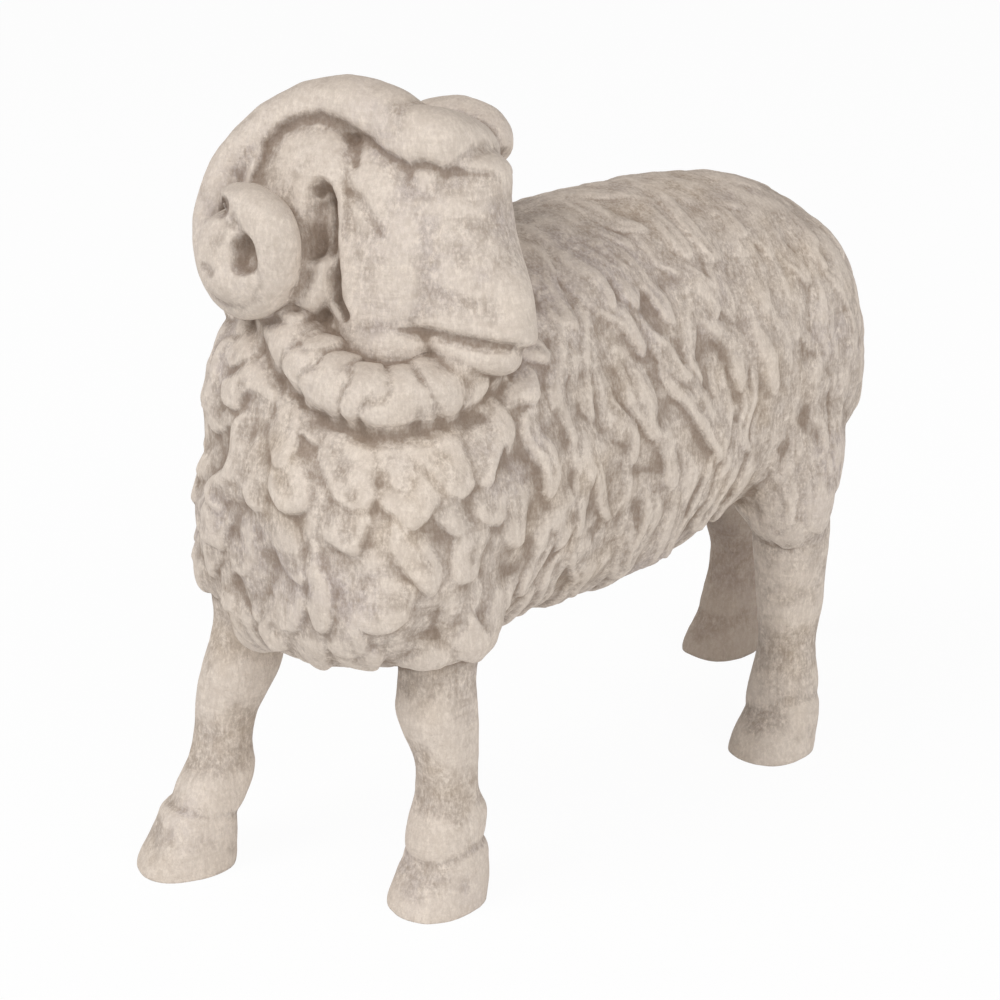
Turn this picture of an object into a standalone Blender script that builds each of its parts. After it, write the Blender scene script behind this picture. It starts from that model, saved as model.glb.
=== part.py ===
"""A ram carved from one block of pale wood, standing on four hooves, head turned to its left.

All sizes are millimetres until the last step, which scales the figure to metres.
x runs to the ram's left, y runs to its rear and z runs up; the soles stand on z = 0.
"""

import math

import bpy
import bmesh
import numpy as np
from mathutils.kdtree import KDTree

METRES_PER_MM = 0.001

# Trunk
BACK_HEIGHT = 81.0
BELLY_HEIGHT = 30.5
BODY_LENGTH = 98.0
BODY_WIDTH = 40.0
BRISKET_AHEAD = 13.0  # how far the brisket stands in front of the left fore hoof

# Stance: half the track between the legs, and where each hoof stands behind the left fore hoof
TRACK_HALF = 14.5
RIGHT_FORE_AHEAD = 16.5
LEFT_HIND_BEHIND = 63.5
RIGHT_HIND_BEHIND = 87.0

# Legs and hooves
LEG_THICKNESS = 7.2
HOOF_LENGTH = 12.5
HOOF_WIDTH = 11.0
HOOF_HEIGHT = 7.0

# Head: centre of the skull, and how far its face is turned from straight left towards the rear
SKULL_HEIGHT = 85.1
SKULL_BEHIND = 6.3
SKULL_LEFT = 4.0
HEAD_TURN_DEG = 17.0
HEAD_TILT_DEG = 14.0
FACE_LENGTH = 26.5
HEAD_WIDTH = 17.0

# Horns
HORN_THICKNESS = 8.6
HORN_SPIRAL_RADIUS = 12.4
LEFT_HORN_SHARE = 0.78

# Fleece
LOCK_LENGTH = 10.5
LOCK_WIDTH = 6.0
LOCK_DEPTH = 2.6
RUFF_THICKNESS = 7.6  # the roll of wool under the jaw
RUFF_EDGE_CUT = 1.8
LOCKS_SUNK = 0.55  # the share of a lock's depth that is cut below the block's skin
KNIFE_EDGE = 0.4  # over how many millimetres an undercut edge rises

# Mesh fineness
BLOCK_CELL = 0.55
SKIN_CELL = 0.62
SKIN_TRIANGLES = 11600
SEEDS_THROWN = 9000


# Lofting: rings of points along a smooth path, closed by domes

def smooth_rows(rows, per_span):
    """Catmull-Rom through the rows, each a list of numbers, with per_span steps between two rows."""
    rows = np.asarray(rows, float)
    ahead = np.vstack([2 * rows[0] - rows[1], rows, 2 * rows[-1] - rows[-2]])
    made = []
    for i in range(len(rows) - 1):
        a, b, c, d = ahead[i:i + 4]
        for k in range(per_span):
            t = k / per_span
            made.append(0.5 * (2 * b + (c - a) * t + (2 * a - 5 * b + 4 * c - d) * t ** 2
                               + (3 * b - a - 3 * c + d) * t ** 3))
    made.append(rows[-1])
    return np.array(made)


def loft(bm, rows, across, sides=32, per_span=5, squareness=2.0, egg=0.0, dome=(0.5, 0.5), stack=None):
    """Adds a closed loft to bm. Each row is x, y, z, half width and half depth.

    The width lies along the vector across, and the depth at right angles to it and to the path,
    or to the vector stack where one is given. egg narrows the side that the depth points to,
    and dome gives each end's length in half depths.
    """
    rows = smooth_rows(rows, per_span)
    centres, widths, depths = rows[:, :3], rows[:, 3], rows[:, 4]
    tangents = np.gradient(centres, axis=0)
    tangents /= np.linalg.norm(tangents, axis=1, keepdims=True)
    across = np.asarray(across, float)
    if across.ndim == 1:
        across = np.tile(across, (len(rows), 1))
    normals = tangents if stack is None else np.tile(np.asarray(stack, float), (len(rows), 1))
    wide = across - normals * (across * normals).sum(1, keepdims=True)
    wide /= np.linalg.norm(wide, axis=1, keepdims=True)
    deep = np.cross(normals, wide)
    angles = np.arange(sides) * 2 * math.pi / sides
    power = 2.0 / squareness
    c = np.sign(np.cos(angles)) * np.abs(np.cos(angles)) ** power
    s = np.sign(np.sin(angles)) * np.abs(np.sin(angles)) ** power
    dome_steps = 4
    rings = []

    def ring(i, shift, shrink):
        middle = centres[i] + tangents[i] * shift
        width = widths[i] * shrink * (1 - egg * s)
        return middle + np.outer(c * width, wide[i]) + np.outer(s * depths[i] * shrink, deep[i])

    for k in range(dome_steps - 1, 0, -1):
        angle = k * math.pi / 2 / dome_steps
        rings.append(ring(0, -dome[0] * depths[0] * math.sin(angle), math.cos(angle)))
    for i in range(len(rows)):
        rings.append(ring(i, 0.0, 1.0))
    for k in range(1, dome_steps):
        angle = k * math.pi / 2 / dome_steps
        rings.append(ring(-1, dome[1] * depths[-1] * math.sin(angle), math.cos(angle)))
    loops = [[bm.verts.new(p) for p in points] for points in rings]
    first = bm.verts.new(centres[0] - tangents[0] * dome[0] * depths[0])
    last = bm.verts.new(centres[-1] + tangents[-1] * dome[1] * depths[-1])
    for a, b in zip(loops, loops[1:]):
        for k in range(sides):
            n = (k + 1) % sides
            bm.faces.new((a[k], a[n], b[n], b[k]))
    for k in range(sides):
        n = (k + 1) % sides
        bm.faces.new((first, loops[0][n], loops[0][k]))
        bm.faces.new((last, loops[-1][k], loops[-1][n]))


def new_object(name, bm):
    mesh = bpy.data.meshes.new(name)
    bm.normal_update()
    bmesh.ops.recalc_face_normals(bm, faces=bm.faces)
    bm.to_mesh(mesh)
    bm.free()
    obj = bpy.data.objects.new(name, mesh)
    bpy.context.scene.collection.objects.link(obj)
    return obj


def bake(obj):
    """Replaces the object's mesh with its evaluated one, and clears its modifiers."""
    graph = bpy.context.evaluated_depsgraph_get()
    made = bpy.data.meshes.new_from_object(obj.evaluated_get(graph))
    old = obj.data
    obj.modifiers.clear()
    obj.data = made
    bpy.data.meshes.remove(old)
    return obj


def fuse(obj, cell, smoothing):
    """Welds overlapping shells into one skin of cubes of that size, and eases the steps."""
    remesh = obj.modifiers.new("Fuse", "REMESH")
    remesh.mode = "VOXEL"
    remesh.voxel_size = cell
    if smoothing:
        ease = obj.modifiers.new("Ease", "SMOOTH")
        ease.factor = 0.5
        ease.iterations = smoothing
    return bake(obj)


# The trunk, neck and thighs that carry the fleece

def body_point(along, up):
    """y and z at a share of the body's length and a share of its depth."""
    return (-BRISKET_AHEAD + BODY_LENGTH * along, BELLY_HEIGHT + (BACK_HEIGHT - BELLY_HEIGHT) * up)


def fleece_block():
    bm = bmesh.new()
    half = BODY_WIDTH / 2
    # share along, underside, topside, share of half width
    sections = [(0.00, 0.02, 0.56, 0.73), (0.06, -0.04, 0.70, 1.03), (0.15, -0.05, 0.82, 1.09),
                (0.28, -0.03, 0.95, 1.03), (0.44, -0.03, 1.02, 1.0), (0.60, -0.01, 1.06, 1.0),
                (0.76, 0.10, 1.03, 1.01), (0.88, 0.15, 0.95, 0.96), (0.965, 0.24, 0.80, 0.71)]
    rows = []
    for along, low, high, wide in sections:
        y, z_low = body_point(along, low)
        z_high = body_point(along, high)[1]
        rows.append((0, y, (z_low + z_high) / 2, half * wide, (z_high - z_low) / 2))
    loft(bm, rows, (1, 0, 0), squareness=2.2, egg=-0.10, dome=(0.16, 0.22))
    neck(bm)
    shoulders(bm)
    thighs(bm)
    tail(bm)
    ruff(bm)
    return new_object("fleece", bm)


def neck(bm):
    """From inside the chest up to the back of the skull."""
    y_chest, z_chest = body_point(0.12, 0.44)
    rows = [(-1.0, y_chest + 3.0, z_chest, 18.5, 15.5),
            (-3.2, y_chest + 2.7, z_chest + 10, 16.1, 13.8),
            (-6.8, y_chest + 3.0, z_chest + 17, 13.2, 12.2),
            (SKULL_LEFT - 8.0, SKULL_BEHIND - 1.0, SKULL_HEIGHT - 7, 9.5, 9.5)]
    loft(bm, rows, (1, 0, 0), dome=(0.4, 0.4))


def shoulders(bm):
    for side, ahead, hem in ((1, 0.0, 4.5), (-1, 6.5, 3.9)):
        x = side * TRACK_HALF
        rows = [(x * 0.80, body_point(0.17, 0)[0] - ahead * 0.7, BELLY_HEIGHT + 22, 8.5, 10.0),
                (x * 0.94, body_point(0.15, 0)[0] - ahead * 0.9, BELLY_HEIGHT + 11, 8.3, 8.5),
                (x * 0.97, body_point(0.135, 0)[0] - ahead, BELLY_HEIGHT + hem, 6.8, 7.0)]
        loft(bm, rows, (1, 0, 0), dome=(0.5, 0.3))
    # the brisket's wool hangs lowest beside the right fore leg
    y = body_point(0.045, 0)[0]
    loft(bm, [(-5.8, y, BELLY_HEIGHT + 8, 7.0, 6.0), (-6.2, y, BELLY_HEIGHT - 1.0, 4.4, 4.4)], (1, 0, 0),
         dome=(0.4, 0.4))


def thighs(bm):
    for side, hoof_behind, drop in ((1, LEFT_HIND_BEHIND, 0.0), (-1, RIGHT_HIND_BEHIND, 5.0)):
        y_hip = body_point(0.80, 0)[0]
        y_foot = hoof_behind + 3.0
        x = side * TRACK_HALF
        rows = [(x * 0.66, y_hip, BACK_HEIGHT - 20, 9.0, 15.0),
                (x * 0.80, y_hip + drop * 0.5, BELLY_HEIGHT + 16.5, 9.0, 11.0 + drop * 0.5),
                (x * 0.94, (y_hip + y_foot) / 2 - 0.5 + drop * 0.1, BELLY_HEIGHT + 8, 7.6, 7.3 + drop * 0.3),
                (x * 1.0, y_foot - 1.2 - drop, BELLY_HEIGHT + 3.4 - drop * 0.9, 6.1 - drop * 0.1, 5.4)]
        loft(bm, rows, (1, 0, 0), dome=(0.4, 0.5))


def tail(bm):
    """A short woolly tail lying against the rump."""
    y_root, z_root = body_point(0.975, 0.66)
    z_tip = body_point(0.975, 0.19)[1]
    rows = [(0, y_root - 1.0, z_root, 4.2, 3.4),
            (0, y_root + 2.2, z_root + (z_tip - z_root) * 0.33, 4.4, 3.2),
            (0, y_root + 2.2, z_root + (z_tip - z_root) * 0.71, 3.6, 2.8),
            (0, y_root + 0.8, z_tip, 2.4, 2.2)]
    loft(bm, rows, (1, 0, 0), sides=20, dome=(0.6, 0.8))


def throat():
    """The point under the jaw that the ruff's locks fan out from."""
    return np.array([SKULL_LEFT + 4.0, SKULL_BEHIND - 7.3, SKULL_HEIGHT - 13.0])


def ruff_line():
    """The middle of the roll of wool that runs round the throat under the jaw."""
    from_skull = [(-9.0, -12.0, -12.5), (-4.5, -13.7, -15.5), (-1.4, -14.7, -18.0), (4.0, -14.5, -20.3),
                  (8.3, -12.9, -21.7), (10.6, -8.9, -22.1), (11.6, -4.3, -21.0), (11.0, 1.7, -18.0)]
    return np.array([SKULL_LEFT, SKULL_BEHIND, SKULL_HEIGHT]) + np.array(from_skull)


def ruff(bm):
    rows = [(*point, RUFF_THICKNESS / 2, RUFF_THICKNESS / 2) for point in ruff_line()]
    loft(bm, rows, (0, 0, 1), sides=20, per_span=4, dome=(0.6, 0.6))


# The carved locks

def ramped(value, start, end):
    """0 up to start, 1 from end on, and an even curve between them."""
    share = np.clip((value - start) / (end - start), 0, 1)
    return share * share * (3 - 2 * share)


def distance_to_line(points, line):
    """Least distance from each point to a polyline."""
    best = np.full(len(points), 1e9)
    for a, b in zip(line, line[1:]):
        a, b = np.array(a), np.array(b)
        share = np.clip((points - a) @ (b - a) / ((b - a) @ (b - a)), 0, 1)
        best = np.minimum(best, np.linalg.norm(points - a - share[:, None] * (b - a), axis=1))
    return best


def lie_of_fleece(points, normals):
    """The way the wool lies: down in front, slanting to the rear and off the spine, outward on the ruff."""
    x, y, z = points.T
    up = np.clip((z - BELLY_HEIGHT) / (BACK_HEIGHT - BELLY_HEIGHT), 0, 1)
    rear = np.clip((y - 6.0) / 20.0, 0, 1)
    haunch = np.clip((y - body_point(0.72, 0)[0]) / 16.0, 0, 1)
    lie = np.stack([0.55 * np.tanh(x / 4.0) * up, rear * (0.15 + 1.1 * up) * (1 - 0.75 * haunch),
                    np.full_like(x, -1.0)], 1)
    on_ruff = 1 - ramped(distance_to_line(points, ruff_line()), RUFF_THICKNESS * 0.52, RUFF_THICKNESS * 0.75)
    away = points - throat()
    away /= np.linalg.norm(away, axis=1, keepdims=True)
    lie += away * (on_ruff * 4.0)[:, None]
    lie -= normals * (lie * normals).sum(1, keepdims=True)
    length = np.linalg.norm(lie, axis=1, keepdims=True)
    lie = np.where(length > 0.05, lie, np.array([[0.0, 1.0, 0.0]]))
    return lie / np.linalg.norm(lie, axis=1, keepdims=True)


def cut_depth(points):
    """Deepest on the chest and neck, shallower behind, almost smooth on the back and the haunches."""
    _, y, z = points.T
    depth = np.ones(len(points))
    depth *= 1 - 0.40 * ramped(z, BACK_HEIGHT - 13, BACK_HEIGHT - 1) * ramped(y, 8, 20)
    depth *= 1 - 0.45 * ramped(y, *[body_point(along, 0)[0] for along in (0.6, 0.75)])
    return LOCK_DEPTH * depth


def ruff_seeds():
    """Points side by side along the outer face of the roll of wool."""
    line = ruff_line()
    run = np.concatenate([[0], np.cumsum(np.linalg.norm(np.diff(line, axis=0), axis=1))])
    stops = np.arange(1.5, run[-1], LOCK_WIDTH * 0.78)
    middle = np.stack([np.interp(stops, run, line[:, i]) for i in range(3)], 1)
    away = middle - throat()
    return middle + away / np.linalg.norm(away, axis=1, keepdims=True) * RUFF_THICKNESS * 0.45


def lock_seeds(points, rng):
    """Vertices nearest to the ruff's seeds and to points thrown at random, in the order they are tried."""
    tree = KDTree(len(points))
    for i, point in enumerate(points):
        tree.insert(point, i)
    tree.balance()
    thrown = rng.uniform(points.min(0) - 2, points.max(0) + 2, (SEEDS_THROWN, 3))
    placed = ruff_seeds()
    thrown[:len(placed)] = placed
    found = [tree.find(point) for point in thrown]
    return [(k, index) for k, (_, index, gap) in enumerate(found) if gap < 2.5]


def plant_locks(points, normals, rng):
    """Keeps the seeds that stand clear of one another, farther apart along the wool than across it."""
    seeds = lock_seeds(points, rng)
    places = np.array([index for _, index in seeds])
    spots, lie = points[places], lie_of_fleece(points[places], normals[places])
    flank = ramped(spots[:, 1], 0.0, 24.0)
    length = LOCK_LENGTH * (0.85 + 0.50 * flank)
    kept = []
    for i in range(len(spots)):
        if kept:
            gap = spots[kept] - spots[i]
            along = gap @ lie[i]
            across2 = (gap * gap).sum(1) - along ** 2
            if np.any((along / (length[i] * 0.56)) ** 2 + across2 / (LOCK_WIDTH * 0.72) ** 2 < 1.0):
                continue
        kept.append(i)
    return [(seeds[i][0], places[i], lie[i], length[i]) for i in kept]


def lock_heights(points, normals, seed=7):
    """How high the carved wool stands over each point, as a share of the deepest cut."""
    rng = np.random.default_rng(seed)
    locks = plant_locks(points, normals, rng)
    traits = rng.uniform(-1, 1, (SEEDS_THROWN, 6))
    on_ruff = len(ruff_seeds())
    height = np.full(len(points), 0.15)
    for k, place, down, length in locks:
        longer, wider, bend, wave, skew, taller = traits[k]
        centre, out = points[place], normals[place]
        long = length * (1.05 + 0.2 * longer)
        half = LOCK_WIDTH * (0.44 + 0.06 * wider)
        near = np.flatnonzero(np.abs(points - centre).max(1) < long * 0.75)
        gap = points[near] - centre
        along = (gap @ down) / long + 0.5
        across = gap @ np.cross(out, down)
        across += long * 0.14 * bend * np.cos(math.pi * along)
        across += half * 0.35 * wave * np.sin(2 * math.pi * along)
        inside = (along > 0) & (along < 1) & (np.abs(gap @ out) < half * 2.2) & ((normals[near] @ out) > 0.2)
        along = np.clip(along, 0, 1)
        span = half * np.sin(math.pi * along ** 0.8) ** 0.55 + 1e-6
        side = np.clip(across / span, -1, 1)
        rise = (1 - side ** 2) ** 0.5 * (1 + 0.35 * skew * side)
        root = 0.6 if k < on_ruff else 0.15
        crest = (root + (1 - root) * along ** 1.2) * np.clip((1 - along) / 0.08, 0, 1) ** 0.5
        made = np.where(inside & (np.abs(across) < span), rise * crest * (1 + 0.15 * taller), 0)
        height[near] = np.maximum(height[near], made)
    return height


def carve_fleece(obj):
    points, normals = surface(obj)
    height = lock_heights(points, normals)
    points += normals * (cut_depth(points) * (height - LOCKS_SUNK))[:, None]
    line = ruff_line()
    away = line - throat()
    edge = line + away / np.linalg.norm(away, axis=1, keepdims=True) * RUFF_THICKNESS * 0.62
    groove = np.clip(1 - (distance_to_line(points, edge) / RUFF_EDGE_CUT) ** 2, 0, 1)
    points -= normals * (RUFF_EDGE_CUT * 0.6 * groove)[:, None]
    obj.data.vertices.foreach_set("co", points.ravel())
    obj.data.update()


# The bare parts: legs, hooves, head, horns and ears

def leg(bm, stations):
    """Each station is x, y, z and how many half thicknesses it measures across and fore-and-aft."""
    half = LEG_THICKNESS / 2
    rows = [(x, y, z, half * wide, half * deep) for x, y, z, wide, deep in stations]
    loft(bm, rows, (1, 0, 0), sides=24, squareness=2.3, dome=(0.3, 0.3))


def fore_leg(bm, x, y_hoof, reach, knock):
    """reach is how far the leg leans forward to its hoof, knock how far the knee stands inward."""
    top = BELLY_HEIGHT + 9
    knee, fetlock = top * 0.645, top * 0.367
    x_knee = x - math.copysign(knock, x)
    leg(bm, [(x * 0.93, y_hoof + reach + 1.5, top, 1.6, 2.1),
             (x_knee, y_hoof + reach * 0.90 + 0.8, (top + knee) / 2, 1.20, 1.30),
             (x_knee, y_hoof + reach * 0.74 + 0.4, knee, 1.28, 1.32),
             (x, y_hoof + reach * 0.47 + 1.0, (knee + fetlock) / 2, 0.94, 0.98),
             (x, y_hoof + reach * 0.32 + 1.4, fetlock, 0.90, 0.94),
             (x, y_hoof + reach * 0.22 + 1.6, HOOF_HEIGHT + 4.5, 1.12, 1.30),
             (x, y_hoof + reach * 0.10 + 0.8, HOOF_HEIGHT + 0.5, 1.18, 1.22)])


def hind_leg(bm, x, y_hoof, sickle):
    """sickle is how far the leg's top stands forward of its hock."""
    top = BELLY_HEIGHT + 4
    leg(bm, [(x * 0.98, y_hoof + 3.0 - sickle * 1.6, top, 1.4, 1.35),
             (x * 0.98, y_hoof + 2.9 - sickle * 0.8, top - 7, 1.26, 1.3 + sickle * 0.05),
             (x, y_hoof + 2.8 - sickle * 0.2, top - 14, 1.08, 1.2),
             (x, y_hoof + 2.8, HOOF_HEIGHT + 8, 1.0, 1.04),
             (x, y_hoof + 2.7, HOOF_HEIGHT + 2.5, 1.2, 1.38),
             (x, y_hoof + 2.0, HOOF_HEIGHT - 1.0, 1.25, 1.28)])


def hoof(bm, x, y, turn_out, back=0.0):
    """The coronet sits behind the sole's middle, and the sole runs on below z = 0 until it is cut flat."""
    turn = math.radians(turn_out)
    heel = np.array([-math.sin(turn), math.cos(turn), 0.0])
    across = (math.cos(turn), math.sin(turn), 0.0)
    sole = np.array([x, y, 0.0])
    rows = []
    # share of the height, setback, and shares of the width and length
    for share, behind, wide, long in ((1.1, 1.7, 0.40, 0.36), (0.72, 1.3, 0.46, 0.42),
                                      (0.15, 0.0, 0.5, 0.5), (-0.25, 0.0, 0.5, 0.5)):
        middle = sole + heel * (behind + back * share)
        rows.append((middle[0], middle[1], HOOF_HEIGHT * share, HOOF_WIDTH * wide, HOOF_LENGTH * long))
    loft(bm, rows, across, sides=28, squareness=2.4, dome=(0.1, 0.1))


def head_axes():
    """The skull's centre and unit vectors ahead, to the ram's own right and up, all tilted with the head."""
    turn = math.radians(HEAD_TURN_DEG)
    tilt = math.radians(HEAD_TILT_DEG)
    ahead = np.array([math.cos(turn), math.sin(turn), 0.0])
    level = np.array([math.sin(turn), -math.cos(turn), 0.0])
    plumb = np.array([0, 0, 1.0])
    right = level * math.cos(tilt) + plumb * math.sin(tilt)
    up = plumb * math.cos(tilt) - level * math.sin(tilt)
    return np.array([SKULL_LEFT, SKULL_BEHIND, SKULL_HEIGHT]), ahead, right, up


def head_point(ahead_by, right_by, up_by):
    origin, ahead, right, up = head_axes()
    return origin + ahead * ahead_by + right * right_by + up * up_by


def face_slices(bm, slices, dome, egg):
    """Level slices of the head, listed upwards: height, back edge, front edge and share of half width."""
    long = FACE_LENGTH / 26.5
    rows = []
    for height, back, front, share in slices:
        middle = head_point((back + front) / 2, 0, height * long)
        rows.append((*middle, HEAD_WIDTH / 2 * share, (front - back) / 2))
    axes = head_axes()
    loft(bm, rows, axes[2], squareness=2.3, egg=egg, dome=dome, stack=axes[3])


def side_slices(bm, slices, side, dome=(0.2, 0.2)):
    """Slices that stand beside the skull's middle: ahead, up, how far out, half length and half height."""
    rows = [(*head_point(ahead, side * out, up), long, high) for ahead, up, out, long, high in slices]
    loft(bm, rows, head_axes()[1], squareness=2.2, dome=dome)


def head(bm):
    """The skull and upper jaw in one, the lower jaw under it, and the forehead and cheeks over both."""
    face_slices(bm, [(-14.2, -1.5, 18.2, 0.66), (-12.0, -4.5, 18.0, 0.76), (-8.5, -6.5, 16.9, 0.90),
                     (-4.5, -7.0, 14.7, 1.0), (0.0, -7.5, 12.9, 1.04), (3.5, -8.0, 11.8, 1.02),
                     (6.0, -8.0, 9.8, 0.92), (7.5, -6.0, 7.0, 0.74)], (0.10, 0.14), 0.30)
    face_slices(bm, [(-17.5, 6.8, 16.2, 0.45), (-15.2, 4.0, 16.6, 0.58), (-11.5, 0.5, 14.5, 0.70)],
                (0.25, 0.1), 0.24)
    side_slices(bm, [(2.0, 6.2, -6.4, 5.4, 4.0), (3.6, 6.9, 0.0, 6.0, 4.1), (2.6, 6.8, 6.4, 6.0, 4.2)], -1,
                (0.7, 0.7))
    for side in (1, -1):
        side_slices(bm, [(0.6, -5.0, 2.0, 9.4, 10.8), (0.2, -5.6, 5.5, 8.8, 10.4),
                         (-0.2, -5.8, 7.6, 6.8, 9.0)], side, (0.2, 0.12))


def horn(bm, side):
    """A tapering tube that winds one turn and a quarter: up, back, down and forward beside the head."""
    rows = []
    steps = 13
    start = 0.0 if side > 0 else 0.06
    for k in range(steps):
        share = start + (0.91 - start) * k / (steps - 1)
        angle = math.radians(18 + 497 * share)
        closing = ramped(share, 0.27, 0.68)
        tip = ramped(share, 0.78, 0.91)
        radius = HORN_SPIRAL_RADIUS * (1.0 - 0.63 * closing + 0.10 * tip)
        middle = (-6.9 - 7.9 * ramped(share, 0.10, 0.65), -1.2 - 7.8 * share)
        out = 4.0 + 9.8 * min(share / 0.72, 1.0)
        if side < 0:
            radius *= LEFT_HORN_SHARE
            middle = (middle[0] + 4.4, middle[1] + 3.1)
            out += 2.5
        thick = HORN_THICKNESS / 2 * (1.0 if side > 0 else 0.9)
        if share < 0.4:
            thick *= 1.0 - 0.95 * share
        else:
            thick *= 0.62 + (share - 0.4) * 0.20 - 0.16 * tip
        ahead, up = middle[0] + radius * math.cos(angle), middle[1] + radius * math.sin(angle)
        rows.append((*head_point(ahead, side * out, up), thick, thick))
    loft(bm, rows, head_axes()[2], sides=24, per_span=4, dome=(0.5, 0.6))
    temple(bm, side)


def temple(bm, side):
    """The wood left standing inside the horn's curl, and behind the pit of its last turn."""
    side_slices(bm, [(-10.0, -0.8, 2.0, 8.0, 8.8), (-10.8, -0.4, 6.5, 8.0, 9.0),
                     (-11.0, -0.4, 9.2, 7.4, 8.6)], side, (0.2, 0.16))
    side_slices(bm, [(-5.8, -6.0, 3.0, 4.9, 8.0), (-6.2, -6.4, 9.2, 4.2, 7.4)], side, (0.2, 0.16))
    side_slices(bm, [(-11.5, -7.6, 4.0, 7.0, 7.2), (-13.6, -8.2, 12.0, 6.0, 6.2),
                     (-14.4, -8.0, 15.2, 4.2, 4.6)], side, (0.2, 0.12))


def bare_block():
    bm = bmesh.new()
    fore_leg(bm, TRACK_HALF, 0.0, 1.0, 1.2)
    fore_leg(bm, -TRACK_HALF, -RIGHT_FORE_AHEAD, 10.5, 0.5)
    hind_leg(bm, TRACK_HALF, LEFT_HIND_BEHIND, 0.0)
    hind_leg(bm, -TRACK_HALF, RIGHT_HIND_BEHIND, 5.0)
    hoof(bm, TRACK_HALF, 0.0, 0.0)
    hoof(bm, -TRACK_HALF - 0.3, -RIGHT_FORE_AHEAD - 0.9, -16.0)
    hoof(bm, TRACK_HALF + 0.7, LEFT_HIND_BEHIND - 0.3, 0.0, 0.8)
    hoof(bm, -TRACK_HALF, RIGHT_HIND_BEHIND, 0.0, 0.8)
    head(bm)
    for side in (1, -1):
        horn(bm, side)
    return new_object("bare", bm)


# Knife work on the head and hooves

def surface(obj):
    """The vertices and their normals as arrays."""
    count = len(obj.data.vertices)
    points = np.empty(count * 3)
    normals = np.empty(count * 3)
    obj.data.vertices.foreach_get("co", points)
    obj.data.vertices.foreach_get("normal", normals)
    return points.reshape(-1, 3), normals.reshape(-1, 3)


HEAD_CUTS = (
    # points are ahead of and above the skull's centre, seen from the side; then radius and depth
    ("ear slot", [(-6.1, -1.0), (-5.9, -3.6), (-5.8, -5.8)], 1.8, 2.2),
    ("pit of the curl", [(-14.2, -7.2), (-14.0, -9.4)], 2.0, 1.8),
    ("ear edge", [(-7.4, -0.4), (-6.2, 0.6), (-4.9, 0.2), (-4.1, -1.2), (-3.6, -4.2), (-3.3, -7.5),
                  (-2.5, -12.0), (-1.3, -14.4), (1.3, -17.2)], 1.2, 1.3),
    ("cheek fold", [(-1.8, 0.2), (-0.4, -0.5), (1.0, -2.0), (2.5, -3.8)], 1.0, 0.4),
    ("nostril", [(8.6, -9.6), (10.4, -10.4), (12.4, -10.6)], 1.0, 0.4),
    ("notch beside the curl", [(-18.6, -1.9), (-17.0, -1.7)], 1.5, 1.0),
    ("eye, raised", [(5.6, 3.1), (6.3, 3.1)], 1.9, -0.55),
)
HEAD_EDGES = (
    # the lower side of each line is cut back; then reach and depth
    ("horn's rim", [(13.5, 4.9), (10.3, 4.4), (7.3, 4.4), (5.7, 4.7), (4.0, 4.3), (0.9, 5.4), (-2.4, 7.1),
                    (-5.0, 8.4), (-8.1, 9.0), (-10.8, 8.3), (-13.1, 7.0), (-14.7, 5.0), (-15.4, 2.8)],
     4.5, 1.3),
    ("lip", [(19.5, -13.9), (16.1, -14.4), (14.1, -14.5), (10.1, -14.1), (7.7, -13.8), (5.8, -14.0)],
     1.8, 0.9),
)


def height_over_line(flat, line):
    """How far each point lies above a line that runs backwards, below 0 where it lies under it."""
    best = np.full(len(flat), 1e9)
    for a, b in zip(line, line[1:]):
        a, b = np.array(a), np.array(b)
        step = b - a
        share = np.clip((flat - a) @ step / (step @ step), 0, 1)
        gap = flat - a - share[:, None] * step
        far = np.linalg.norm(gap, axis=1) * -np.sign(step[0] * gap[:, 1] - step[1] * gap[:, 0])
        best = np.where(np.abs(far) < np.abs(best), far, best)
    return best


def carve_head(obj):
    """Both sides of the face, cut square on from the side."""
    points, normals = surface(obj)
    origin, ahead, right, up = head_axes()
    local = (points - origin) @ np.stack([ahead, right, up], 1)
    flat = local[:, [0, 2]]
    on_head = (np.abs(local[:, 0]) < 24) & (local[:, 2] > -18.5) & (local[:, 2] < 14)
    for side in (1, -1):
        facing = np.clip(normals @ right * side * 1.6, 0, 1) * on_head * (local[:, 1] * side > 1.5)
        for _, line, reach, depth in HEAD_EDGES:
            over = height_over_line(flat, line)
            sunk = np.clip(1 + over / reach, 0, 1) * (1 - np.tanh(over / KNIFE_EDGE)) / 2
            points -= right * side * (depth * sunk * facing)[:, None]
        for _, line, radius, depth in HEAD_CUTS:
            near = np.clip(1 - (distance_to_line(flat, line) / radius) ** 2, 0, 1)
            points -= right * side * (depth * near * facing)[:, None]
    obj.data.vertices.foreach_set("co", points.ravel())
    obj.data.update()


def finish(obj):
    """Thins the skin, flattens the soles again and sets the figure on its origin in metres."""
    thin = obj.modifiers.new("Thin", "DECIMATE")
    thin.ratio = SKIN_TRIANGLES / sum(len(p.vertices) - 2 for p in obj.data.polygons)
    bake(obj)
    points, _ = surface(obj)
    points[np.abs(points[:, 2]) < 0.05, 2] = 0.0
    low = points.min(0)
    high = points.max(0)
    points -= ((low[0] + high[0]) / 2, (low[1] + high[1]) / 2, low[2])
    obj.data.vertices.foreach_set("co", (points * METRES_PER_MM).ravel())
    for polygon in obj.data.polygons:
        polygon.use_smooth = True
    obj.data.update()


def pale_wood():
    material = bpy.data.materials.new("pale_wood")
    material.use_nodes = True
    shader = material.node_tree.nodes["Principled BSDF"]
    shader.inputs["Base Color"].default_value = (0.55, 0.47, 0.40, 1.0)
    shader.inputs["Roughness"].default_value = 0.72
    return material


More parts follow.
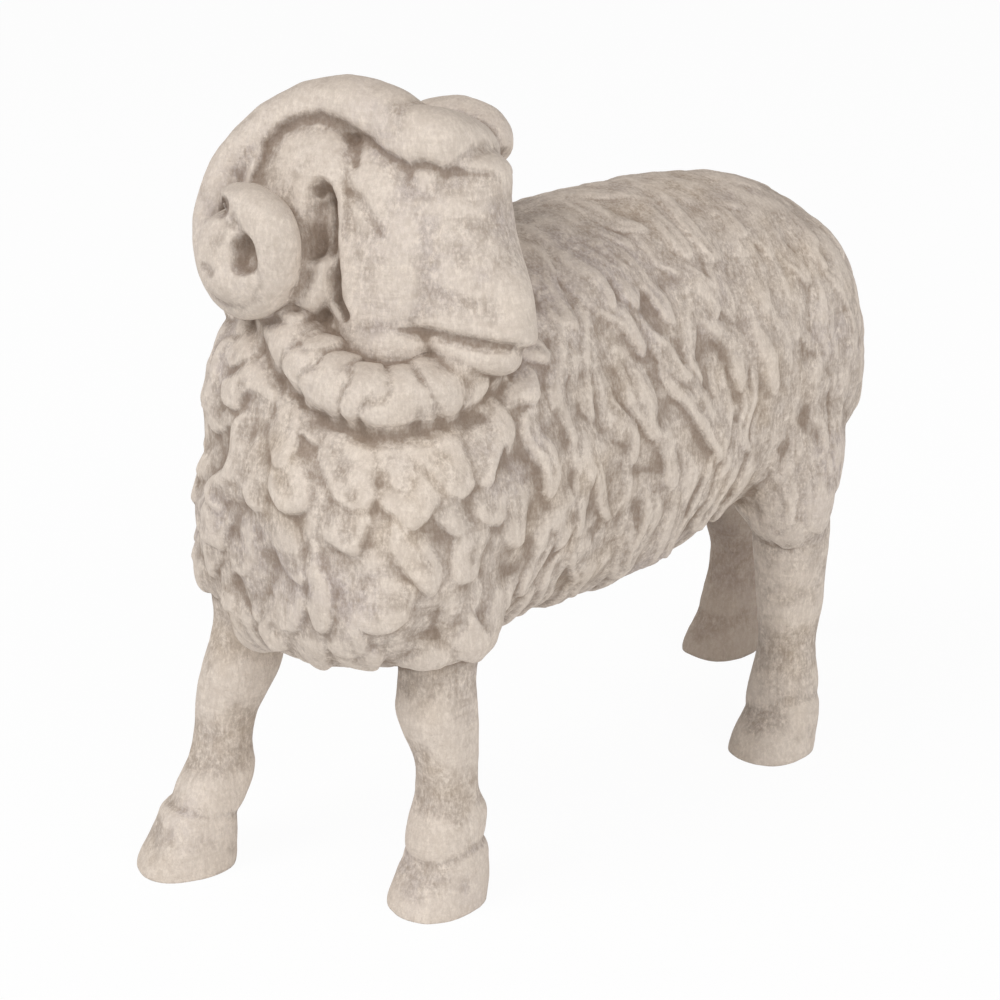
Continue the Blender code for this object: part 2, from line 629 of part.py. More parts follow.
def loose_pieces(bm):
    """Every vertex outside the largest connected piece."""
    seen = set()
    pieces = []
    for start in bm.verts:
        if start in seen:
            continue
        seen.add(start)
        piece = [start]
        for vert in piece:
            for edge in vert.link_edges:
                other = edge.other_vert(vert)
                if other not in seen:
                    seen.add(other)
                    piece.append(other)
        pieces.append(piece)
    largest = max(pieces, key=len)
    return [v for piece in pieces if piece is not largest for v in piece]


def cut_soles(obj):
    """Saws the figure off level at z = 0 and caps the four cuts."""
    bm = bmesh.new()
    bm.from_mesh(obj.data)
    bmesh.ops.delete(bm, geom=loose_pieces(bm), context="VERTS")
    everything = bm.verts[:] + bm.edges[:] + bm.faces[:]
    cut = bmesh.ops.bisect_plane(bm, geom=everything, dist=1e-4, plane_co=(0, 0, 0), plane_no=(0, 0, 1),
                                 clear_inner=True)
    edges = [e for e in cut["geom_cut"] if isinstance(e, bmesh.types.BMEdge)]
    bmesh.ops.holes_fill(bm, edges=edges, sides=0)
    bmesh.ops.recalc_face_normals(bm, faces=bm.faces)
    bm.to_mesh(obj.data)
    bm.free()


def main():
    for obj in list(bpy.data.objects):
        bpy.data.objects.remove(obj)
    fleece = fuse(fleece_block(), BLOCK_CELL, 6)
    carve_fleece(fleece)
    bare = bare_block()
    bm = bmesh.new()
    bm.from_mesh(fleece.data)
    bm.from_mesh(bare.data)
    for obj in (fleece, bare):
        bpy.data.objects.remove(obj)
    ram = fuse(new_object("ram_figurine", bm), SKIN_CELL, 2)
    carve_head(ram)
    cut_soles(ram)
    finish(ram)
    ram.data.materials.append(pale_wood())


main()
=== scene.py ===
import math

import bpy
import numpy as np
from mathutils import Matrix, Vector
from mathutils.kdtree import KDTree


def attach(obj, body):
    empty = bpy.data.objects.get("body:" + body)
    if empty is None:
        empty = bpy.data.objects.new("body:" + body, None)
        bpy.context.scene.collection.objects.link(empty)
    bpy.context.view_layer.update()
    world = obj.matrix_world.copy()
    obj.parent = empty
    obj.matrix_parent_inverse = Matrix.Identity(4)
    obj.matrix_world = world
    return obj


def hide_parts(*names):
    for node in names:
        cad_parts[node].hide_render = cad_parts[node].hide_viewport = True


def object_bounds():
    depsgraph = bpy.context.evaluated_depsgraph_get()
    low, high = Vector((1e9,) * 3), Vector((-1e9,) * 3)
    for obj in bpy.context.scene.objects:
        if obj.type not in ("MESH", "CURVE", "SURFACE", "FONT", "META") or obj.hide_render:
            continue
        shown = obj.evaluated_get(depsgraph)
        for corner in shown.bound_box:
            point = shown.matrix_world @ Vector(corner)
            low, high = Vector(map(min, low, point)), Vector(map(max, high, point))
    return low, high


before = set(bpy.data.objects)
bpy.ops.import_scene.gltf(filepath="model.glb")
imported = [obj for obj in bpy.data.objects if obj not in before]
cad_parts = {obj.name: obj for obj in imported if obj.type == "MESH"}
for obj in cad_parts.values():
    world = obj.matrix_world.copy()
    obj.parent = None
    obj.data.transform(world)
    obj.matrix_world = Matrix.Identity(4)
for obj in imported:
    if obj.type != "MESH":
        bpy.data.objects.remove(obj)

cadBox = [list(corner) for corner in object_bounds()]

# All shapes are in millimetres, x to the ram's left, y to its rear, z up, the left fore hoof at x 14.5, y 0.
# At the end the figure is scaled to metres and moved onto the CAD figure's place.
metre = 0.001


def deselectAll():
    for thing in list(bpy.context.selected_objects):
        thing.select_set(False)


def selectOnly(thing):
    deselectAll()
    thing.select_set(True)
    bpy.context.view_layer.objects.active = thing


def applyModifiers(thing):
    selectOnly(thing)
    for modifier in list(thing.modifiers):
        bpy.ops.object.modifier_apply(modifier=modifier.name)


def passThrough(stations):
    # the rounding cuts corners, so the inner stations are pushed out until the rounded form meets them
    drawn = np.array(stations, float)
    wanted = drawn.copy()
    for k in range(4):
        drawn[1:-1] += wanted[1:-1] - (drawn[:-2] + 4 * drawn[1:-1] + drawn[2:]) / 6
    drawn[:, 3:] = np.maximum(drawn[:, 3:], 0.3)
    return drawn


def growForm(name, stations, square=2.0, egg=0.0, sides=20):
    # one ring is extruded and resized from station to station: x, y, z, half width, half depth
    deselectAll()
    bpy.ops.mesh.primitive_circle_add(vertices=sides, radius=1, fill_type="NGON", location=(0, 0, 0))
    form = bpy.context.object
    form.name = name
    for v in form.data.vertices:
        x = math.copysign(abs(v.co.x) ** (2 / square), v.co.x)
        y = math.copysign(abs(v.co.y) ** (2 / square), v.co.y)
        v.co = (x * (1 - egg * y), y, 0)
    swell = 1 / (2 / 3 + math.cos(2 * math.pi / sides) / 3)  # the subdivision pulls rings in by this much
    stations = passThrough(stations)
    x, y, z, wide, deep = stations[0]
    bpy.ops.object.mode_set(mode="EDIT")
    bpy.ops.mesh.select_all(action="SELECT")
    bpy.ops.transform.resize(value=(wide * swell, deep * swell, 1), center_override=(0, 0, 0))
    bpy.ops.transform.translate(value=(x, y, z))
    for nextX, nextY, nextZ, nextWide, nextDeep in stations[1:]:
        bpy.ops.mesh.extrude_region_move(
            TRANSFORM_OT_translate={"value": (nextX - x, nextY - y, nextZ - z)})
        bpy.ops.transform.resize(value=(nextWide / wide, nextDeep / deep, 1),
                                 center_override=(nextX, nextY, nextZ))
        x, y, z, wide, deep = nextX, nextY, nextZ, nextWide, nextDeep
    bpy.ops.mesh.select_all(action="SELECT")
    bpy.ops.mesh.normals_make_consistent(inside=False)
    bpy.ops.object.mode_set(mode="OBJECT")
    rounded = form.modifiers.new("rounded", "SUBSURF")
    rounded.levels = rounded.render_levels = 3
    applyModifiers(form)
    return form


def setDown(form, matrix):
    form.matrix_world = matrix
    selectOnly(form)
    bpy.ops.object.transform_apply(location=True, rotation=True, scale=True)
    return form


def drawBar(name, points):
    # a round bar along the points: x, y, z, thickness
    deselectAll()
    bpy.ops.curve.primitive_nurbs_path_add(location=(0, 0, 0))
    bar = bpy.context.object
    bar.name = name
    line = bar.data.splines[0]
    line.points.add(len(points) - len(line.points))
    for spot, (x, y, z, thick) in zip(line.points, points):
        spot.co = (x, y, z, 1)
        spot.radius = thick / 2
    line.use_endpoint_u = True
    line.order_u = 4
    line.resolution_u = 10
    bar.data.bevel_depth = 1.0
    bar.data.bevel_resolution = 8
    bar.data.use_fill_caps = True
    bpy.ops.object.convert(target="MESH")
    return bpy.context.object


def easeSkin(skin, rounds):
    ease = skin.modifiers.new("ease", "SMOOTH")
    ease.factor = 0.5
    ease.iterations = rounds
    applyModifiers(skin)


def fuseForms(forms, cell, easing):
    # overlapping forms become one closed skin of small squares
    deselectAll()
    for form in forms:
        form.select_set(True)
    bpy.context.view_layer.objects.active = forms[0]
    bpy.ops.object.join()
    skin = bpy.context.object
    remesh = skin.modifiers.new("fuse", "REMESH")
    remesh.mode = "VOXEL"
    remesh.voxel_size = cell
    easeSkin(skin, easing)
    return skin


def readSkin(skin):
    count = len(skin.data.vertices)
    points = np.empty(count * 3)
    normals = np.empty(count * 3)
    skin.data.vertices.foreach_get("co", points)
    skin.data.vertices.foreach_get("normal", normals)
    return points.reshape(-1, 3), normals.reshape(-1, 3)


def writeSkin(skin, points):
    skin.data.vertices.foreach_set("co", points.ravel())
    skin.data.update()


def ramped(value, start, end):
    # 0 up to start, 1 from end on, and an even curve between them
    share = np.clip((value - start) / (end - start), 0, 1)
    return share * share * (3 - 2 * share)


def unevenness(points, size, seed):
    # soft random swellings between -1 and 1, about the given size apart, the same again after 32 of them
    table = np.random.default_rng(seed).uniform(-1, 1, (32, 32, 32))
    cell = points / size
    base = np.floor(cell).astype(int)
    inside = cell - base
    inside = inside * inside * (3 - 2 * inside)
    total = np.zeros(len(points))
    for corner in np.ndindex(2, 2, 2):
        share = np.where(np.array(corner) == 1, inside, 1 - inside).prod(1)
        i, j, k = ((base + corner) % 32).T
        total += table[i, j, k] * share
    return total


def lumpsOver(points, lumps):
    # lumps of several kinds laid over each other: distance apart, seed, height
    return sum(unevenness(points, size, seed) * high for size, seed, high in lumps)


body = {
    # y, underside, topside, half width
    "trunk": [(-14.7, 37.5, 53.5, 8.5), (-13.0, 33.0, 58.8, 14.6), (-7.1, 30.6, 65.9, 20.6),
              (1.7, 29.6, 71.9, 21.8), (14.4, 30.6, 78.5, 20.6), (30.1, 30.5, 81.2, 20.0),
              (45.8, 31.3, 82.6, 20.0), (61.5, 37.2, 81.6, 20.2), (73.2, 39.0, 79.0, 19.2),
              (81.6, 42.6, 72.4, 14.6), (84.3, 49.0, 64.5, 8.0)],
    # x, y, z, half width, half depth
    "neck": [(-1.0, 1.8, 45.0, 13.0, 11.0), (-2.0, 1.8, 52.7, 19.8, 15.5), (-4.7, 1.5, 61.8, 18.5, 14.2),
             (-6.8, 1.8, 69.7, 13.2, 12.2), (-4.0, 5.3, 78.1, 9.5, 9.5), (-3.8, 5.6, 82.0, 5.5, 5.5)],
    "leftShoulder": [(14.1, 0.2, 33.2, 4.2, 4.4), (14.1, 0.2, 35.0, 6.8, 7.0), (13.6, 1.7, 41.5, 8.3, 8.5),
                     (11.6, 3.7, 52.5, 8.5, 10.0), (10.0, 4.4, 58.0, 4.6, 5.5)],
    "rightShoulder": [(-13.3, -6.3, 34.8, 4.2, 4.4), (-13.3, -6.3, 36.6, 6.4, 6.8),
                      (-13.6, -4.1, 41.5, 8.3, 8.5), (-11.6, -0.9, 52.5, 8.5, 10.0),
                      (-10.0, 0.0, 58.0, 4.6, 5.5)],
    "brisket": [(-6.2, -8.6, 30.6, 2.4, 2.4), (-6.2, -8.6, 32.1, 4.4, 4.4), (-5.8, -8.6, 38.5, 7.0, 6.0),
                (-5.8, -8.6, 41.5, 3.8, 3.2)],
    "leftThigh": [(14.5, 65.5, 32.0, 3.4, 3.2), (14.5, 65.5, 33.9, 5.3, 5.1), (13.6, 65.4, 38.5, 7.6, 7.3),
                  (11.6, 65.4, 47.0, 9.0, 11.0), (9.6, 65.4, 61.0, 9.0, 15.0), (8.6, 65.4, 66.0, 5.0, 8.5)],
    "rightThigh": [(-14.5, 84.6, 27.6, 3.4, 3.2), (-14.5, 83.8, 29.4, 5.6, 5.4), (-13.6, 77.7, 38.5, 7.6, 9.6),
                   (-11.6, 67.9, 47.0, 9.0, 13.5), (-9.6, 65.4, 61.0, 9.0, 15.0), (-8.6, 65.4, 66.0, 5.0, 8.5)],
    "tail": [(0, 83.1, 38.6, 1.3, 1.2), (0, 83.4, 40.1, 2.4, 2.2), (0, 84.8, 47.0, 3.6, 2.8),
             (0, 84.8, 56.0, 4.4, 3.2), (0, 81.6, 63.8, 4.2, 3.4), (0, 79.8, 66.5, 2.4, 2.0)],
    # x, y, z along the roll of wool under the jaw
    "ruff": [(-5.0, -5.7, 72.6), (-0.5, -7.4, 69.6), (3.0, -8.1, 68.0), (8.0, -7.6, 66.1), (11.8, -5.8, 65.0),
             (13.8, -2.2, 64.9), (14.6, 2.2, 65.8), (14.4, 8.0, 68.0)],
    "ruffThick": 7.2, "cell": 0.5, "easing": 6,
}


def makeBody():
    rings = [(0, -(low + high) / 2, y, half, (high - low) / 2) for y, low, high, half in body["trunk"]]
    trunk = growForm("trunk", rings, square=2.2, egg=-0.10, sides=32)
    forms = [setDown(trunk, Matrix.Rotation(math.radians(-90), 4, "X"))]
    for name in ("neck", "leftShoulder", "rightShoulder", "brisket", "leftThigh", "rightThigh", "tail"):
        forms.append(growForm(name, body[name], sides=24))
    forms.append(drawBar("ruff", [(*spot, body["ruffThick"]) for spot in body["ruff"]]))
    return fuseForms(forms, body["cell"], body["easing"])


wool = {
    # seeds of the locks are thrown into this box; what lands within reach of the skin is planted
    "from": (-23.88, -19.84, 23.81), "to": (23.87, 90.4, 85.81), "thrown": 9000, "seed": 7, "reach": 2.5,
    "long": 10.5, "wide": 7.4, "apart": (0.50, 0.62),  # the gaps as shares of a lock's length and width
    "deep": 1.55, "sunk": 0.55, "floor": 0.40, "root": 0.46, "strand": 0.24,  # the rest are shares of it
    "wobble": 1.1, "wobbleSize": 4.0, "wobbleSeeds": (1, 2, 3),
    # distance apart, seed, height
    "lumps": ((5.0, 4, 0.22), (2.3, 5, 0.16)), "swells": ((9.0, 6, 0.9),),
}
ruff = {
    # the flutes spread from the middle of the throat
    "throat": (8.0, -1.0, 72.1), "fluteWide": 4.0, "fluteDeep": 0.62, "level": 0.7, "uneven": ((4.5, 12, 2.6),),
    # as shares of the roll's thickness: where flutes fade, where locks may stand, where the edge runs
    "fade": (0.52, 0.66), "clear": 0.55, "edge": 0.62,
    "edgeReach": 1.8, "edgeDeep": 0.45,
}


def distanceToLine(points, line):
    best = np.full(len(points), 1e9)
    for a, b in zip(line, line[1:]):
        a, b = np.array(a), np.array(b)
        share = np.clip((points - a) @ (b - a) / ((b - a) @ (b - a)), 0, 1)
        best = np.minimum(best, np.linalg.norm(points - a - share[:, None] * (b - a), axis=1))
    return best


def lieOfWool(points, normals):
    # straight down in front, slanting to the rear and off the spine higher up, away from the jaw on the ruff
    x, y, z = points.T
    up = np.clip((z - 30.5) / 50.5, 0, 1)
    rear = np.clip((y - 6.0) / 20.0, 0, 1)
    haunch = np.clip((y - 57.56) / 16.0, 0, 1)
    lie = np.stack([0.75 * np.tanh(x / 4.0) * up, rear * (0.05 + 0.50 * up * up) * (1 - 0.75 * haunch),
                    np.full_like(x, -1.0)], 1)
    onRuff = 1 - ramped(distanceToLine(points, body["ruff"]), 3.95, 5.7)
    away = points - np.array(ruff["throat"])
    away /= np.linalg.norm(away, axis=1, keepdims=True)
    lie += away * (onRuff * 4.0)[:, None]
    lie -= normals * (lie * normals).sum(1, keepdims=True)
    long = np.linalg.norm(lie, axis=1, keepdims=True)
    lie = np.where(long > 0.05, lie, np.array([[0.0, 1.0, 0.0]]))
    return lie / np.linalg.norm(lie, axis=1, keepdims=True)


def woolDepth(points):
    # deepest on the chest and neck, shallower behind, almost smooth on the back and the haunches
    _, y, z = points.T
    depth = 1 - 0.50 * ramped(z, 66, 80) * ramped(y, 6, 20)
    return wool["deep"] * depth * (1 - 0.22 * ramped(y, 8, 30)) * (1 - 0.40 * ramped(y, 45.8, 60.5))


def carveRuff(points, height):
    # chunky flutes side by side around the roll of wool, and a cut under its outer edge
    line, thick = np.array(body["ruff"]), body["ruffThick"]
    steps = np.linalg.norm(np.diff(line, axis=0), axis=1)
    runs = np.concatenate([[0], np.cumsum(steps)])
    fine = np.linspace(0, runs[-1], 200)
    middle = np.stack([np.interp(fine, runs, line[:, i]) for i in range(3)], 1)
    tree = makeTree(middle)
    found = [tree.find(spot) for spot in points]
    gap = np.array([f[2] for f in found])
    run = fine[[f[1] for f in found]] + lumpsOver(points, ruff["uneven"])
    onRuff = 1 - ramped(gap, thick * ruff["fade"][0], thick * ruff["fade"][1])
    flute = np.abs(np.sin(math.pi * run / ruff["fluteWide"])) ** 0.6
    height = np.maximum(height, onRuff * ruff["level"])
    away = line - ruff["throat"]
    away /= np.linalg.norm(away, axis=1, keepdims=True)
    edge = distanceToLine(points, line + away * thick * ruff["edge"])
    cutBack = ruff["edgeDeep"] * np.clip(1 - (edge / ruff["edgeReach"]) ** 2, 0, 1)
    return height, onRuff * ruff["fluteDeep"] * (flute - 0.9) - cutBack


def makeTree(points):
    tree = KDTree(len(points))
    for i, spot in enumerate(points):
        tree.insert(spot, i)
    tree.balance()
    return tree


def plantLocks(points, normals, tree, rng):
    # seeds thrown over the wool are kept where they stand clear of the earlier ones
    thrown = rng.uniform(wool["from"], wool["to"], (wool["thrown"], 3))
    found = [tree.find(spot) for spot in thrown]
    fromRuff = distanceToLine(np.array([spot for spot, _, _ in found]), body["ruff"])
    clear = fromRuff > body["ruffThick"] * ruff["clear"]
    seeds = [(k, index) for k, (_, index, gap) in enumerate(found) if gap < wool["reach"] and clear[k]]
    places = np.array([index for _, index in seeds])
    spots, lie = points[places], lieOfWool(points[places], normals[places])
    behind = ramped(spots[:, 1], 0, 24)  # short and wide on the chest, long and narrow on the flanks
    long = wool["long"] * (0.85 + 0.65 * behind)
    wide = wool["wide"] * (1 - 0.28 * behind)
    kept = []
    for i in range(len(spots)):
        if kept:
            gap = spots[kept] - spots[i]
            along = gap @ lie[i]
            across2 = (gap * gap).sum(1) - along ** 2
            roomLong, roomWide = long[i] * wool["apart"][0], wide[i] * wool["apart"][1]
            if np.any((along / roomLong) ** 2 + across2 / roomWide ** 2 < 1):
                continue
        kept.append(i)
    print("locks:", len(kept))
    return [(seeds[i][0], places[i], lie[i], long[i], wide[i]) for i in kept]


def lockHeights(spots, level, points, normals, tree):
    # how high the carved wool stands over each spot, 0 in the cuts and about 1 on the crests
    rng = np.random.default_rng(wool["seed"])
    locks = plantLocks(points, normals, tree, rng)
    traits = rng.uniform(-1, 1, (wool["thrown"], 6))
    height = np.full(len(spots), wool["floor"])
    root = wool["root"]
    wobble = np.stack([unevenness(spots, wool["wobbleSize"], seed) for seed in wool["wobbleSeeds"]], 1)
    wobble = wobble * wool["wobble"]
    for k, place, down, length, width in locks:
        longer, wider, bend, wave, skew, taller = traits[k]
        centre, out = points[place], normals[place]
        length = length * (1.05 + 0.28 * longer)
        half = width * (0.45 + 0.13 * wider)
        near = np.flatnonzero(np.abs(spots - centre).max(1) < length * 0.75)
        gap = spots[near] + wobble[near] - centre
        along = (gap @ down) / length + 0.5
        across = gap @ np.cross(out, down)
        # each lock bends and waves a little
        across += length * 0.14 * bend * np.cos(math.pi * along)
        across += half * 0.35 * wave * np.sin(2 * math.pi * along)
        inside = (along > 0) & (along < 1)
        # it fades where the skin turns away from it
        turned = ramped(level[near] @ out, 0.1, 0.6) * (1 - ramped(np.abs(gap @ out), half * 1.2, half * 2.4))
        along = np.clip(along, 0, 1)
        # a tongue with a low root, a flat top higher on one side, and a steep tip
        span = half * (1 - np.abs(2 * along ** 0.85 - 1) ** 2.4) ** 0.7 + 1e-6
        side = np.clip(across / span, -1, 1)
        rise = (1 - side ** 4) ** 0.6 * (1 + 0.45 * skew * side)
        crest = (root + (1 - root) * along ** 1.1) * np.clip((1 - along) / 0.10, 0, 1) ** 0.6
        # one or two gouge lines run down it, fainter on the chest
        gouge = np.abs(np.sin(math.pi * across / (half * (0.95 + 0.2 * wave)) + 3 * skew)) ** 0.5
        strand = wool["strand"] * (0.35 + 0.65 * ramped(centre[1], 0, 20))
        crest = crest + strand * (gouge - 0.75) * np.clip(along * 4, 0, 1)
        made = np.where(inside & (np.abs(across) < span), rise * crest * turned * (1 + 0.25 * taller), 0)
        height[near] = np.maximum(height[near], made)
    return height


def carveWool(skin, points, normals):
    # points and normals are those of the uncarved woolly body
    spots, _ = readSkin(skin)
    tree = makeTree(points)
    near = [tree.find(spot) for spot in spots]
    gap = np.array([n[2] for n in near])
    cover = 1 - ramped(gap, body["cell"] * 0.8, body["cell"] * 2.0)
    level = normals[[n[1] for n in near]]
    woolly = np.flatnonzero(cover > 0)
    height = lockHeights(spots[woolly], level[woolly], points, normals, tree)
    height, ruffled = carveRuff(spots[woolly], height)
    spread = lumpsOver(spots[woolly], wool["lumps"])
    move = woolDepth(spots[woolly]) * (height + spread - wool["sunk"])
    move += lumpsOver(spots[woolly], wool["swells"]) * ramped(spots[woolly, 1], 8, 24)
    move += ruffled
    spots[woolly] += level[woolly] * (move * cover[woolly])[:, None]
    writeSkin(skin, spots)


legs = {
    "half": 3.75, "hoofLong": 12.5, "hoofWide": 11.0, "hoofHigh": 7.0,
    "left": 14.5, "rightForeAhead": 16.5, "leftHindBack": 63.5, "rightHindBack": 87.0,
}


def makeForeLeg(x, y, reach, knock):
    # reach is how far the leg leans forward to its hoof, knock how far the knee stands inward
    half = legs["half"]
    kneeX = x - math.copysign(knock, x)
    rings = [(x, y + reach * 0.10 + 0.8, 6.4, half * 0.9, half * 0.9),
             (x, y + reach * 0.10 + 0.8, 7.5, half * 1.18, half * 1.22),
             (x, y + reach * 0.22 + 1.6, 11.5, half * 1.12, half * 1.30),
             (x, y + reach * 0.32 + 1.4, 14.5, half * 0.98, half * 1.02),
             (x, y + reach * 0.47 + 1.0, 20.0, half * 1.04, half * 1.06),
             (kneeX, y + reach * 0.74 + 0.4, 25.5, half * 1.28, half * 1.32),
             (kneeX, y + reach * 0.90 + 0.8, 32.5, half * 1.20, half * 1.30),
             (x * 0.93, y + reach + 1.5, 39.5, half * 1.6, half * 2.1),
             (x * 0.93, y + reach + 1.5, 41.5, half * 1.0, half * 1.3)]
    return growForm("foreLeg", rings, square=2.3)


def makeHindLeg(x, y, sickle):
    # sickle is how far the leg's top stands forward of its hock
    half = legs["half"]
    rings = [(x, y + 2.0, 4.8, half * 1.0, half * 1.0),
             (x, y + 2.0, 6.0, half * 1.25, half * 1.28),
             (x, y + 2.7, 9.5, half * 1.20, half * 1.38),
             (x, y + 2.9, 15.0, half * 1.02, half * 1.12),
             (x, y + 3.2 - sickle * 0.2, 20.5, half * 1.10, half * 1.26),
             (x * 0.98, y + 3.2 - sickle * 0.8, 27.5, half * 1.26, half * (1.36 + sickle * 0.05)),
             (x * 0.98, y + 3.0 - sickle * 1.6, 34.5, half * 1.4, half * 1.35),
             (x * 0.98, y + 3.0 - sickle * 1.6, 36.5, half * 0.9, half * 0.9)]
    return growForm("hindLeg", rings, square=2.3)


def makeHoof(x, y, turnOut, back):
    high, wide, long = legs["hoofHigh"], legs["hoofWide"], legs["hoofLong"]
    rings = [(0, 0, -2.0, wide * 0.5, long * 0.5),
             (0, 0, 1.0, wide * 0.5, long * 0.5),
             (0, 1.3 + back * 0.72, high * 0.72, wide * 0.46, long * 0.42),
             (0, 1.7 + back * 1.1, high * 1.1, wide * 0.40, long * 0.36),
             (0, 1.9 + back * 1.1, high * 1.2, wide * 0.25, long * 0.22)]
    hoof = growForm("hoof", rings, square=2.4)
    return setDown(hoof, Matrix.Translation((x, y, 0)) @ Matrix.Rotation(math.radians(turnOut), 4, "Z"))


def makeLegs():
    x = legs["left"]
    foreY, hindY, farY = -legs["rightForeAhead"], legs["leftHindBack"], legs["rightHindBack"]
    return [makeForeLeg(x, 0.0, 1.0, 1.2), makeForeLeg(-x + 0.4, foreY, 10.5, 0.5),
            makeHindLeg(x, hindY + 0.7, 0.0), makeHindLeg(-x, farY, 5.0),
            makeHoof(x, 0.0, 0.0, 0.0), makeHoof(-x - 0.3, foreY - 0.9, -16.0, 0.0),
            makeHoof(x + 0.7, hindY + 0.4, 0.0, 0.8), makeHoof(-x, farY, 0.0, 0.8)]


head = {
    "skull": (4.0, 6.3, 85.1), "turn": 17.0, "tilt": 14.0, "halfWidth": 8.5,
    # height, back edge, front edge, share of the half width, listed upwards
    "face": [(-15.1, 2.0, 15.5, 0.40), (-14.2, -1.5, 18.2, 0.66), (-12.0, -4.5, 18.0, 0.76),
             (-8.5, -6.5, 16.9, 0.90), (-4.5, -7.0, 14.7, 1.0), (0.0, -7.5, 12.9, 1.04),
             (3.5, -8.0, 12.5, 1.02), (6.0, -8.0, 11.4, 0.92), (7.5, -6.0, 8.2, 0.74), (8.5, -4.0, 4.0, 0.45)],
    "jaw": [(-18.6, 9.2, 14.2, 0.22), (-17.5, 6.8, 16.2, 0.45), (-15.2, 4.0, 16.6, 0.58),
            (-11.5, 0.5, 14.5, 0.70), (-10.5, 3.0, 11.0, 0.45)],
    # ahead, up, to the side, half length, half height
    "poll": [(2.0, 6.2, -8.8, 2.8, 2.1), (2.0, 6.2, -6.4, 5.4, 4.0), (3.6, 6.9, 0.0, 6.0, 4.1),
             (2.6, 6.8, 6.4, 6.0, 4.2), (2.6, 6.8, 8.8, 3.0, 2.2)],
    "cheek": [(0.6, -5.0, 1.0, 6.0, 7.0), (0.6, -5.0, 2.0, 9.4, 10.8), (0.2, -5.6, 5.5, 8.8, 10.4),
              (-0.2, -5.8, 8.0, 6.6, 9.0), (-0.2, -5.8, 9.1, 3.6, 5.2)],
    "temple": [(-10.0, -0.8, 1.0, 5.0, 5.5), (-10.0, -0.8, 2.0, 8.0, 8.8), (-10.8, -0.4, 6.5, 8.0, 9.0),
               (-11.0, -0.4, 9.2, 7.4, 8.6), (-11.0, -0.4, 10.4, 4.0, 4.8)],
    "earRoot": [(-7.4, -6.0, 2.0, 2.6, 5.0), (-7.4, -6.0, 3.0, 4.2, 8.0), (-7.3, -6.4, 8.9, 3.6, 7.6),
                (-7.3, -6.4, 9.9, 2.0, 4.4)],
    # x, y, z, half width, half depth of the bare throat under the jaw and the coil
    "throatSide": [(-4.5, -1.2, 69.5, 2.5, 2.5), (-4.5, -1.2, 70.5, 5.0, 4.8), (-4.5, -1.2, 76.0, 5.0, 4.8),
                   (-4.5, -1.2, 77.5, 2.5, 2.5)],
    "throat": [(4.0, 1.0, 61.0, 4.5, 3.5), (4.0, 1.0, 62.5, 8.0, 5.8), (3.6, 0.4, 69.0, 9.6, 6.2),
               (3.4, 1.0, 74.5, 9.0, 5.4), (3.4, 1.0, 77.0, 5.0, 3.2)],
    "coil": [(-11.5, -7.6, 3.0, 4.5, 4.6), (-11.5, -7.6, 4.0, 7.0, 7.2), (-13.6, -8.2, 12.0, 6.0, 6.2),
             (-14.4, -8.0, 15.2, 4.2, 4.6), (-14.4, -8.0, 15.8, 2.4, 2.6)],
}


def headAxes():
    turn, tilt = math.radians(head["turn"]), math.radians(head["tilt"])
    ahead = Vector((math.cos(turn), math.sin(turn), 0))
    level = Vector((math.sin(turn), -math.cos(turn), 0))
    plumb = Vector((0, 0, 1))
    right = level * math.cos(tilt) + plumb * math.sin(tilt)
    up = plumb * math.cos(tilt) - level * math.sin(tilt)
    return Vector(head["skull"]), ahead, right, up


def axesMatrix(a, b, c, place):
    return Matrix.Translation(place) @ Matrix((a, b, c)).transposed().to_4x4()


horns = {
    "thick": 8.6, "radius": 12.4, "end": 0.91, "rings": 44,
    "start": -0.03, "leftShare": 0.78, "leftStart": 0.03, "leftMove": (5.3, 2.5, 3.0),
}


def makeHorn(side):
    # up, back, down and forward again beside the head in one turn and a quarter
    skull, ahead, right, up = headAxes()
    points = []
    start = horns["start"] if side > 0 else horns["leftStart"]
    for share in np.linspace(start, horns["end"], horns["rings"]):
        angle = math.radians(18 + 497 * share)
        closing, tip = ramped(share, 0.27, 0.68), ramped(share, 0.78, 0.91)
        radius = horns["radius"] * (1 - 0.63 * closing + 0.10 * tip)
        u, w = -6.9 - 6.8 * ramped(share, 0.10, 0.65), -1.2 - 7.8 * share
        s = 4 + 9.8 * min(share / 0.72, 1)
        thick = horns["thick"] * (1 - 0.95 * share if share < 0.4 else 0.62 + (share - 0.4) * 0.2 - 0.16 * tip)
        thick *= 0.6 + 0.4 * min(1, (share - start) / 0.03)
        if side < 0:
            radius *= horns["leftShare"]
            thick *= 0.9
            u, s, w = u + horns["leftMove"][0], s + horns["leftMove"][1], w + horns["leftMove"][2]
        u, w = u + radius * math.cos(angle), w + radius * math.sin(angle)
        points.append((*(skull + ahead * u + right * s * side + up * w), thick))
    return drawBar("horn", points)


def makeHead():
    skull, ahead, right, up = headAxes()
    standing = axesMatrix(right, ahead, up, skull)
    sideways = axesMatrix(ahead, up, right, skull)
    forms = []
    half = head["halfWidth"]
    for name, egg in (("face", 0.30), ("jaw", 0.24)):
        rings = [(0, (b + f) / 2, h, half * share, (f - b) / 2) for h, b, f, share in head[name]]
        forms.append(setDown(growForm(name, rings, square=2.3, egg=egg, sides=24), standing))
    forms.append(setDown(growForm("poll", head["poll"], square=2.3), sideways))
    for name in ("throat", "throatSide"):
        forms.append(growForm(name, head[name]))
    for side in (1, -1):
        for name in ("cheek", "temple", "earRoot", "coil"):
            rings = [(u, w, s * side, a, b) for u, w, s, a, b in head[name]]
            forms.append(setDown(growForm(name, rings, square=2.2, sides=24), sideways))
        forms.append(makeHorn(side))
    return forms


